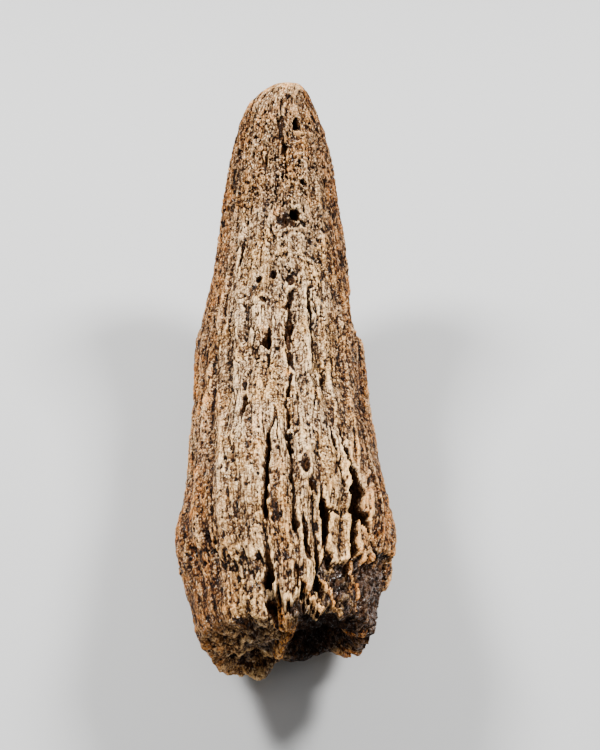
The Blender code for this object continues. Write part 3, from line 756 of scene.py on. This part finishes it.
class Face:
    """The broken face with all its relief, from its rim to its middle, and the marks of its finish."""

    def __init__(self, around, relief):
        rim = rim_along(around)
        self.part = np.linspace(1.0, 0.0, FACE_ROWS + 1)[1:, None]
        self.hold = smooth(1.0 - 3.0 * RIM_WIDTH, 1.0, self.part)
        self.inside = smooth(1.0 - 0.5 * RIM_WIDTH, 1.0 - 1.5 * RIM_WIDTH, self.part)
        self.edge = Surface(rim[None, :], around, relief)
        even = read_profile(GIRTH, rim) - RIM_LOSS
        self.radius = self.part * (even + self.hold * (self.edge.radius[0] - even))
        self.across = self.radius * np.cos(np.radians(around))
        self.up = self.radius * np.sin(np.radians(around))
        self.around = np.broadcast_to(around, self.radius.shape)
        plane = FACE_ALONG - FACE_LEAN * self.up
        unevenness = FACE_LUMP_HEIGHT * self.noise(FACE_LUMP_SIZE, FACE_SEED)
        self.along = plane + self.hold * (rim - plane) + self.inside * (FACE_RECESS + unevenness)
        self.add_forms()
        self.add_cells(relief.sponge_depth / MM)

    def noise(self, size, seed, shift=0.0):
        """Soft noise across the face, of a size in millimetres."""
        return noise_of(self.across / size + shift, self.up / size, seed)

    def add_forms(self):
        """Lumps, hollows and ridges, and where small lumps are clean of soil and painted lighter."""
        self.clean = 0.0
        waver = 2.4 * self.noise(3.6, 1.0, 9.0)
        for middle_x, middle_z, size, height in FACE_FORMS:
            reach = np.hypot(self.across - middle_x, self.up - middle_z) + waver
            form = self.inside * smooth(size, 0.2 * size, reach)
            self.along = self.along - height * form
            if size < SMALL_LUMP and height > 0.0:
                self.clean = np.maximum(self.clean, smooth(0.2, 0.7, form))
        self.ridges = self.inside * path_relief(FACE_RIDGES, self.across, self.up)
        self.along = self.along - self.ridges

    def add_cells(self, depth):
        """Open cells of two sizes, and crumbs."""
        x, y, z = self.across, self.up, self.along
        shift = 0.5 * self.noise(5.0, 3.0)
        gap, self.own = read_cells(x / 3.6 + shift, y / 4.4 - shift, z / 5.0)
        cells = smooth(0.05, 0.5, gap) * np.maximum(self.own, 0.0)
        small = smooth(0.05, 0.4, read_cells(x / 1.8, y / 1.8, z / 2.2)[0])
        crumbs = noise_of(x / 4.5, y / 4.5, z / 4.5) + 0.5 * noise_of(x / 2.2, y / 2.2, z / 2.2)
        self.sunk = self.inside * depth * (0.7 * cells + 0.3 * small)
        self.along = z + self.sunk + self.inside * FACE_CRUMBS * crumbs

    def marks(self):
        """Depth, shade, plate, dark, cut and yellow, as the outer surface has them."""
        # Painted shadow in the hollow on the right of the face, darkest where it lies deepest
        hollow_shade = self.inside * smooth(*FACE_SHADE_AT, self.across)
        pale = smooth(*FACE_PALE_AT, self.across)
        # Painted shade over the inner face, which leans away from the lamps, mixed with soil; less on the
        # clean left edge and small lumps
        soiled_and_shaded = (0.62 + 0.9 * self.noise(8.0, 7.0, 3.0)) * smooth(0.94, 0.72, self.part)
        soiled_and_shaded = soiled_and_shaded * (1.0 - pale) * (1.0 - 0.7 * self.clean)
        yellow = np.maximum(np.minimum(self.ridges, 1.0), self.edge.yellow * self.hold)
        dark = np.maximum(self.edge.dark * self.hold, np.clip(soiled_and_shaded, 0.0, 0.8) + 0.7 * hollow_shade)
        dark = np.minimum(dark, 1.0) * (1.0 - yellow) + 0.35 * hollow_shade * smooth(0.9, 0.6, self.part)
        # Painted shade where the torn edge meets the face, and painted light on the face's left edge and
        # on small lumps
        shade = self.edge.shade * self.hold * (1.0 - pale) - 0.4 * pale - 0.35 * self.clean
        marks = (self.sunk, shade, self.own, dark, self.edge.cuts * self.hold, yellow)
        return np.stack(np.broadcast_arrays(*marks), -1)


def face_surface(around, relief):
    """Points and marks of the broken face, in the same way, a row for each ring."""
    face = Face(around, relief)
    straight = straightened(face.along, face.around, GIRTH_RADIUS * np.maximum(face.part, 0.02))
    unbent = straightened(face.along, face.around, face.radius)
    return place(face.along, face.around, face.radius), straight, unbent, face.marks()


def straightened(along, around, radius):
    """Places on the bone as it would be with a straight axis and this radius, in millimetres."""
    angle = np.radians(around)
    x, y, along = np.broadcast_arrays(radius * np.cos(angle), radius * np.sin(angle), along)
    return np.stack((x, y, along), -1)


def fit_to_solid(points):
    """Rest the bone on the ground and centre it on the solid it stands for."""
    low, high = (np.array(corner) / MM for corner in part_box(NODE))
    points[:, 2] = np.maximum(points[:, 2], 0.0)
    middle = (points.min(0) + points.max(0)) / 2.0
    points[:, :2] += ((low + high) / 2.0 - middle)[:2]
    return points * MM


def store(mesh, name, kind, values):
    """Keep a value for each vertex under a name that materials can read."""
    field = {"FLOAT": "value", "FLOAT_VECTOR": "vector"}[kind]
    layer = mesh.attributes.new(name, kind, "POINT")
    layer.data.foreach_set(field, np.ascontiguousarray(values, np.float32).ravel())


def new_grid(last_row):
    """A flat grid with a square for each row and column of the lattice."""
    mesh = bpy.data.meshes.new("bone_surface")
    bm = bmesh.new()
    bmesh.ops.create_grid(bm, x_segments=COLUMNS, y_segments=last_row, size=1.0)
    bm.to_mesh(mesh)
    bm.free()
    return mesh


def read_lattice(mesh, last_row):
    """Row and column of each vertex of a flat grid."""
    flat = np.empty(len(mesh.vertices) * 3)
    mesh.vertices.foreach_get("co", flat)
    across, up = (flat.reshape(-1, 3)[:, :2].T + 1.0) / 2.0
    return np.round(up * last_row).astype(int), np.round(across * COLUMNS).astype(int) % COLUMNS


def build_bone(relief):
    """The bone's surface: a grid wrapped round the axis, welded along its seam and poles."""
    around = column_angles()
    shaft, face = shaft_surface(around, relief), face_surface(around, relief)
    points, straight, unbent, marks = (np.concatenate(pair) for pair in zip(shaft, face))
    mesh = new_grid(len(points) - 1)
    row, column = read_lattice(mesh, len(points) - 1)
    mesh.vertices.foreach_set("co", fit_to_solid(points[row, column]).ravel())
    store(mesh, "straight", "FLOAT_VECTOR", straight[row, column])
    store(mesh, "unbent", "FLOAT_VECTOR", unbent[row, column])
    for index, name in enumerate(MARKS):
        store(mesh, name, "FLOAT", marks[row, column, index])
    weld(mesh)
    # sunk and sunk_far drive painted shade in recesses and painted light on crests
    store(mesh, "sunk", "FLOAT", sunk_below(mesh, NEAR_ROUNDS))
    store(mesh, "sunk_far", "FLOAT", sunk_below(mesh, FAR_ROUNDS))
    mesh.shade_smooth()
    return mesh


def weld(mesh):
    """Close the seam and the two poles, and turn the faces outwards."""
    bm = bmesh.new()
    bm.from_mesh(mesh)
    bmesh.ops.remove_doubles(bm, verts=bm.verts, dist=0.004 * MM)
    bmesh.ops.dissolve_degenerate(bm, edges=bm.edges, dist=0.002 * MM)
    bmesh.ops.recalc_face_normals(bm, faces=bm.faces)
    bm.to_mesh(mesh)
    bm.free()


def sunk_below(mesh, rounds):
    """How many millimetres each vertex lies under the surface that smoothing would leave."""
    count = len(mesh.vertices)
    points = np.empty(count * 3)
    mesh.vertices.foreach_get("co", points)
    points = points.reshape(-1, 3) / MM
    edges = np.empty(len(mesh.edges) * 2, int)
    mesh.edges.foreach_get("vertices", edges)
    one, other = edges.reshape(-1, 2).T
    ends, others = np.concatenate((one, other)), np.concatenate((other, one))
    links = np.bincount(ends, minlength=count)
    even = points.copy()
    for _ in range(rounds):
        for axis in range(3):
            total = np.bincount(ends, even[others, axis], count)
            even[:, axis] = 0.4 * even[:, axis] + 0.6 * total / links
    normals = np.empty(count * 3)
    mesh.vertex_normals.foreach_get("vector", normals)
    return ((even - points) * normals.reshape(-1, 3)).sum(1)


class Nodes:
    """Short ways to add and join shader nodes."""

    def __init__(self, material):
        material.use_nodes = True
        self.tree = material.node_tree
        self.shader = self.tree.nodes["Principled BSDF"]

    def add(self, kind, **settings):
        """A new node of this kind."""
        node = self.tree.nodes.new("ShaderNode" + kind)
        for name, value in settings.items():
            setattr(node, name, value)
        return node

    def link(self, source, target):
        """Join an output to an input."""
        self.tree.links.new(source, target)

    def feed(self, socket, value):
        """Give an input a value, or join it to the output that holds one."""
        if isinstance(value, bpy.types.NodeSocket):
            self.link(value, socket)
        else:
            socket.default_value = value

    def attribute(self, name, output="Fac"):
        """What the mesh stores under a name."""
        return self.add("Attribute", attribute_name=name).outputs[output]

    def stretched(self, vector, across, along):
        """Coordinates in which a feature is across millimetres wide and along millimetres long."""
        node = self.add("Mapping")
        node.inputs["Scale"].default_value = (1.0 / across, 1.0 / across, 1.0 / along)
        self.link(vector, node.inputs["Vector"])
        return node.outputs["Vector"]

    def noise(self, vector, detail=2.0, roughness=0.5, distortion=0.0):
        """Soft noise, about 0.3 to 0.7."""
        node = self.add("TexNoise")
        self.link(vector, node.inputs["Vector"])
        node.inputs["Scale"].default_value = 1.0
        node.inputs["Detail"].default_value = detail
        node.inputs["Roughness"].default_value = roughness
        node.inputs["Distortion"].default_value = distortion
        return node.outputs["Fac"]

    def cells(self, vector):
        """Distance to the middle of the nearest cell, and the cell's own number."""
        node = self.add("TexVoronoi")
        self.link(vector, node.inputs["Vector"])
        node.inputs["Scale"].default_value = 1.0
        own = self.add("SeparateColor")
        self.link(node.outputs["Color"], own.inputs["Color"])
        return node.outputs["Distance"], own.outputs["Red"]

    def warped(self, vector, size, amount):
        """Coordinates pushed about by noise."""
        push = self.add("TexNoise")
        self.link(self.stretched(vector, size, size), push.inputs["Vector"])
        push.inputs["Scale"].default_value = 1.0
        middle = self.add("VectorMath", operation="SUBTRACT")
        self.link(push.outputs["Color"], middle.inputs[0])
        middle.inputs[1].default_value = (0.5, 0.5, 0.5)
        moved = self.add("VectorMath", operation="MULTIPLY_ADD")
        self.link(middle.outputs["Vector"], moved.inputs[0])
        moved.inputs[1].default_value = (amount, amount, amount)
        self.link(vector, moved.inputs[2])
        return moved.outputs["Vector"]

    def step(self, value, low, high):
        """0 at low and 1 at high; low may be the greater."""
        node = self.add("MapRange", interpolation_type="SMOOTHSTEP")
        self.link(value, node.inputs["Value"])
        start, end = (0.0, 1.0) if low < high else (1.0, 0.0)
        node.inputs["From Min"].default_value = min(low, high)
        node.inputs["From Max"].default_value = max(low, high)
        node.inputs["To Min"].default_value = start
        node.inputs["To Max"].default_value = end
        return node.outputs["Result"]

    def maths(self, operation, first, second=0.0):
        """One sum, product or greatest of two values."""
        node = self.add("Math", operation=operation)
        self.feed(node.inputs[0], first)
        self.feed(node.inputs[1], second)
        return node.outputs["Value"]

    def sum(self, *terms, offset):
        """Weighted sum of values."""
        total = offset
        for value, weight in terms:
            node = self.add("Math", operation="MULTIPLY_ADD")
            self.link(value, node.inputs[0])
            node.inputs[1].default_value = weight
            self.feed(node.inputs[2], total)
            total = node.outputs["Value"]
        return total

    def ramp(self, value, stops):
        """Colours at places from 0 to 1, and straight blends between them."""
        node = self.add("ValToRGB")
        self.link(value, node.inputs["Fac"])
        elements = node.color_ramp.elements
        while len(elements) < len(stops):
            elements.new(0.5)
        for element, (spot, colour) in zip(elements, stops):
            element.position = spot
            element.color = colour
        return node.outputs["Color"]

    def mix(self, part, first, second, way="MIX"):
        """The first colour where part is 0, and the second where it is 1."""
        node = self.add("Mix", data_type="RGBA", blend_type=way)
        self.feed(node.inputs["Factor"], part)
        self.feed(node.inputs[FIRST_COLOUR], first)
        self.feed(node.inputs[SECOND_COLOUR], second)
        return node.outputs[MIXED_COLOUR]

    def tint(self, part, first, second):
        """The first colour multiplied by the second, as far as part says."""
        return self.mix(part, first, second, "MULTIPLY")

    def bump(self, height, distance):
        """Normals of a fine relief in which a height of 1 stands out by a distance in metres."""
        node = self.add("Bump")
        self.link(height, node.inputs["Height"])
        node.inputs["Distance"].default_value = distance
        node.inputs["Strength"].default_value = 1.0
        return node.outputs["Normal"]


def opaque(colour):
    """A colour with full alpha."""
    return (*colour, 1.0)


def bone_marks(kit):
    """The marks that the mesh stores, each under its own name."""
    marks = SimpleNamespace(**{name: kit.attribute(name) for name in (*MARKS, "sunk", "sunk_far")})
    marks.straight = kit.attribute("straight", "Vector")
    marks.unbent = kit.attribute("unbent", "Vector")
    return marks


def bone_grain(kit, marks):
    """Crumbs, grit, holes, streaks, mottling, patches and hairlines."""
    gritty = kit.warped(marks.unbent, 1.1, 1.2)
    crumb, crumb_own = kit.cells(kit.stretched(gritty, 1.1, 1.8))
    grit, grit_own = kit.cells(kit.stretched(gritty, 0.7, 0.9))
    pore, pore_own = kit.cells(kit.stretched(gritty, 1.5, 3.0))
    lines = kit.noise(kit.stretched(marks.straight, 2.0, 24.0), 3.0, 0.55, 0.3)
    return SimpleNamespace(
        crumb=crumb, crumb_own=crumb_own, grit=grit, grit_own=grit_own,
        holes=kit.maths("MULTIPLY", kit.step(pore, 0.42, 0.24), kit.step(pore_own, 0.60, 0.66)),
        streaks=kit.noise(kit.stretched(marks.straight, 0.8, 13.0), 4.0, 0.58, 0.5),
        mottle=kit.noise(kit.stretched(marks.unbent, 6.0, 11.0), 4.0, 0.62),
        patches=kit.noise(kit.stretched(marks.unbent, 13.0, 24.0), 3.0, 0.55),
        hairline=kit.step(kit.maths("ABSOLUTE", kit.maths("SUBTRACT", lines, 0.5)), 0.016, 0.004))


def bone_regions(kit, marks):
    """1 on the flanks, on the right side, at the tip and at the root; 0 elsewhere."""
    separate = kit.add("SeparateXYZ")
    kit.link(marks.straight, separate.inputs["Vector"])
    across, along = separate.outputs["X"], separate.outputs["Z"]
    return SimpleNamespace(
        flank=kit.step(kit.maths("ABSOLUTE", across), 20.0, 42.0),
        right=kit.step(across, 14.0, 38.0),
        tip=kit.step(along, 150.0, 240.0),
        root=kit.step(along, 20.0, -30.0))


def bone_tone(kit, marks, grain, region):
    """How light the bone is: about 0 in the cracks, and 1 on worn crests; it carries painted shade in
    recesses, cracks, along torn edges and on the flanks, and painted light on raised crests.
    """
    # Painted shade in recesses and painted light on crests, from how far each place lies below its
    # smoothed surface; weaker on the flanks
    sunken_shade = kit.maths("MULTIPLY", marks.sunk, kit.sum((region.flank, -0.35), offset=1.0))
    return kit.sum(
        (grain.streaks, 1.3), (grain.mottle, 0.85), (grain.crumb_own, 0.30), (grain.crumb, -0.38),
        (grain.grit_own, 0.28), (grain.grit, -0.24), (grain.holes, -0.40), (marks.plate, 0.07),
        (grain.hairline, -0.36), (sunken_shade, -0.64), (marks.sunk_far, -0.12), (marks.depth, -0.05),
        # depth and cut add painted shade in pores and cracks, shade adds it along torn edges, and flank
        # adds a little painted shade on the sides
        (marks.shade, -0.30), (marks.cut, -0.30), (region.flank, -0.08), (region.tip, -0.03),
        (region.root, -0.06), (region.right, -0.06), offset=-0.60)


def add_stains(kit, body, marks, grain, region, colours):
    """Rust on the flanks and the tip, gold in patches and at the root, and ochre."""
    rust = opaque(colours.rust)
    rusty = kit.maths("MAXIMUM", region.flank, kit.maths("MULTIPLY", region.tip, 0.7))
    rusty = kit.maths("MULTIPLY", rusty, kit.step(grain.mottle, 0.25, 0.65))
    body = kit.tint(rusty, body, rust)
    golden = kit.step(grain.patches, 0.46, 0.60)
    golden = kit.maths("MAXIMUM", golden, kit.maths("MULTIPLY", region.root, 0.6))
    body = kit.tint(golden, body, opaque(colours.gold))
    reddish = kit.step(grain.crumb_own, 0.55, 0.8)
    reddish = kit.maths("MULTIPLY", reddish, kit.sum((rusty, 0.6), offset=0.3))
    body = kit.tint(reddish, body, rust)
    yellow = kit.maths("MULTIPLY", marks.yellow, kit.step(grain.crumb_own, -0.4, 0.9))
    return kit.tint(yellow, body, opaque(colours.ochre))


def add_soil_and_shade(kit, body, marks, grain, colours):
    """Soil and painted shade on the bare bone and in the cracks, and umber as painted shade where the
    cracks are deepest and in the face's hollow.
    """
    umber = opaque(colours.umber)
    soil_and_shade = kit.ramp(kit.sum((grain.crumb_own, 0.6), (grain.streaks, 0.8), offset=-0.3), (
        (0.2, umber), (0.6, opaque(colours.brown)), (1.0, opaque(colours.tan))))
    body = kit.mix(kit.maths("MULTIPLY", marks.dark, 0.95), body, soil_and_shade)
    # Crack walls take the soil colour: soil and painted shade
    body = kit.mix(kit.step(marks.cut, 0.5, 1.8), body, soil_and_shade)
    # Painted shadow: umber in the face's hollow, where dark passes 1
    body = kit.mix(kit.step(marks.dark, 1.0, 1.5), body, umber)
    # Painted shade: umber in the deepest cracks and cells
    return kit.mix(kit.step(marks.depth, 1.8, 3.4), body, umber)


def add_chips_and_painted_glints(kit, body, chip, tone, marks, region, colours):
    """Pale chips that stand in for glints as painted highlights, most of them on the clean crests of the
    body.
    """
    clean = kit.sum((kit.maths("MAXIMUM", region.flank, region.root), -0.65), offset=0.95)
    pale = kit.maths("MULTIPLY", kit.maths("MULTIPLY", chip, kit.step(tone, 0.22, 0.55)), clean)
    pale = kit.maths("MULTIPLY", pale, kit.step(marks.dark, 1.2, 0.2))
    return kit.mix(pale, body, opaque(colours.chalk_glint))


def add_glints(kit, chip, marks, grain):
    """Chips and some crumbs of the dark bare bone glint, and the deepest hollows stay dull."""
    glossy = kit.maths("MULTIPLY", kit.step(marks.dark, 0.35, 0.8), kit.step(grain.crumb_own, 0.55, 0.7))
    glossy = kit.maths("MULTIPLY", glossy, kit.step(marks.dark, 1.2, 1.0))
    roughness = kit.sum((chip, -0.44), (glossy, -0.36), offset=0.68)
    kit.link(roughness, kit.shader.inputs["Roughness"])
    lit = kit.sum((chip, 0.95), (glossy, 0.5), offset=0.07)
    lit = kit.maths("MULTIPLY", kit.step(marks.depth, 2.5, 0.5), lit)
    kit.link(lit, kit.shader.inputs["Specular IOR Level"])


def add_fine_relief(kit, grain):
    """Crumbs, grit, holes and streaks too fine for the mesh."""
    relief = kit.sum((grain.crumb, -1.0), (grain.grit, -0.5), (grain.crumb_own, 0.3), (grain.holes, -0.8),
                     (grain.streaks, 0.7), (grain.mottle, 0.6), offset=0.0)
    kit.link(kit.bump(relief, FINE_RELIEF), kit.shader.inputs["Normal"])


def fossil_bone(colours):
    """Weathered bone: cream crests, golden body, rust flanks, umber in every crack and pore, painted
    shade in recesses and hollows, and pale chips painted as glints.
    """
    material = bpy.data.materials.new("fossil_bone")
    kit = Nodes(material)
    marks = bone_marks(kit)
    grain = bone_grain(kit, marks)
    region = bone_regions(kit, marks)
    tone = bone_tone(kit, marks, grain, region)
    # chip: pale specks, painted as glints, which also shine
    chip = kit.maths("MULTIPLY", kit.step(grain.grit_own, 0.66, 0.72), kit.step(grain.grit, 0.5, 0.3))
    body = kit.ramp(tone, (
        (0.04, opaque(colours.umber)), (0.20, opaque(colours.brown)), (0.38, opaque(colours.tan)),
        (0.60, opaque(colours.buff)), (0.92, opaque(colours.cream))))
    body = add_stains(kit, body, marks, grain, region, colours)
    body = add_soil_and_shade(kit, body, marks, grain, colours)
    body = add_chips_and_painted_glints(kit, body, chip, tone, marks, region, colours)
    kit.link(body, kit.shader.inputs["Base Color"])
    add_glints(kit, chip, marks, grain)
    add_fine_relief(kit, grain)
    return material


def pale_floor(colours):
    """Matt pale floor with a faint grain."""
    material = bpy.data.materials.new("pale_floor")
    kit = Nodes(material)
    flat = kit.add("TexCoord").outputs["Object"]
    grain = kit.noise(kit.stretched(flat, FLOOR_GRAIN, FLOOR_GRAIN), 3.0)
    tone = kit.mix(kit.maths("MULTIPLY", grain, 0.06), opaque(colours.floor), (0.5, 0.5, 0.5, 1.0))
    kit.link(tone, kit.shader.inputs["Base Color"])
    kit.shader.inputs["Roughness"].default_value = 0.9
    return material


def link_object(name, data):
    """Put a new object in the scene."""
    made = bpy.data.objects.new(name, data)
    bpy.context.scene.collection.objects.link(made)
    return made


def thin_out(bone):
    """Give the flatter places fewer triangles, and keep them where the relief is."""
    triangles = sum(len(face.vertices) - 2 for face in bone.data.polygons)
    thinner = bone.modifiers.new("thin_out", "DECIMATE")
    thinner.ratio = min(1.0, MOST_TRIANGLES / triangles)
    thinner.use_collapse_triangulate = True


def add_camera():
    """Camera behind the root, looking down at the bone."""
    data = bpy.data.cameras.new("camera")
    data.lens = CAMERA_LENS
    data.sensor_width = 36.0
    camera = link_object("camera", data)
    camera.location = CAMERA_PLACE
    camera.rotation_euler = (math.radians(90.0 - CAMERA_TILT), 0.0, 0.0)
    bpy.context.scene.camera = camera


def add_lights():
    """Two softboxes beside and behind the bone, a weak fill over the camera, and a studio round them."""
    for name, spot, width, power in LIGHTS:
        data = bpy.data.lights.new(name, "AREA")
        data.size = width
        data.energy = power
        light = link_object(name, data)
        light.location = spot
        aim = Vector(LIGHT_TARGET) - Vector(spot)
        light.rotation_euler = aim.to_track_quat("-Z", "Y").to_euler()
    world = bpy.data.worlds.new("studio")
    world.use_nodes = True
    ground = world.node_tree.nodes["Background"]
    ground.inputs["Color"].default_value = opaque(STUDIO_LIGHT)
    ground.inputs["Strength"].default_value = STUDIO_STRENGTH
    bpy.context.scene.world = world


def add_floor(colours):
    """A wide round floor."""
    bm = bmesh.new()
    bmesh.ops.create_circle(bm, cap_ends=True, segments=96, radius=FLOOR_RADIUS)
    mesh = bpy.data.meshes.new("floor")
    bm.to_mesh(mesh)
    bm.free()
    floor = link_object("floor", mesh)
    mesh.materials.append(pale_floor(colours))


class HORN_OT_bone(bpy.types.Operator):
    """Build the weathered bone over its solid"""

    bl_idname = "horn_core.bone"
    bl_label = "Bone"

    def execute(self, context):
        settings = context.scene
        mesh = build_bone(settings.horn_core_relief)
        mesh.materials.append(fossil_bone(settings.horn_core_colours))
        bone = link_object("bone", mesh)
        thin_out(bone)
        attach(bone, BODY)
        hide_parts(NODE)
        return {"FINISHED"}


class HORN_OT_stage(bpy.types.Operator):
    """Add the floor, the lights and the camera"""

    bl_idname = "horn_core.stage"
    bl_label = "Stage"

    def execute(self, context):
        add_floor(context.scene.horn_core_colours)
        add_lights()
        add_camera()
        return {"FINISHED"}


class HORN_PT_panel(bpy.types.Panel):
    """Settings and steps of the horn core"""

    bl_idname = "HORN_PT_panel"
    bl_label = "Horn Core"
    bl_space_type = "VIEW_3D"
    bl_region_type = "UI"
    bl_category = "Horn Core"

    def draw(self, context):
        for group in (context.scene.horn_core_relief, context.scene.horn_core_colours):
            box = self.layout.box()
            for name in group.bl_rna.properties.keys():
                if name not in {"rna_type", "name"}:
                    box.prop(group, name)
        self.layout.operator(HORN_OT_bone.bl_idname)
        self.layout.operator(HORN_OT_stage.bl_idname)


CLASSES = (HornCoreRelief, HornCoreColours, HORN_OT_bone, HORN_OT_stage, HORN_PT_panel)


def register():
    """Add the classes and the scene's settings to Blender."""
    for cls in CLASSES:
        bpy.utils.register_class(cls)
    bpy.types.Scene.horn_core_relief = bpy.props.PointerProperty(type=HornCoreRelief)
    bpy.types.Scene.horn_core_colours = bpy.props.PointerProperty(type=HornCoreColours)


def unregister():
    """Take them away again."""
    del bpy.types.Scene.horn_core_colours
    del bpy.types.Scene.horn_core_relief
    for cls in reversed(CLASSES):
        bpy.utils.unregister_class(cls)


def main():
    """Build the stage and the bone."""
    register()
    bpy.ops.horn_core.stage()
    bpy.ops.horn_core.bone()


if __name__ == "__main__":
    main()
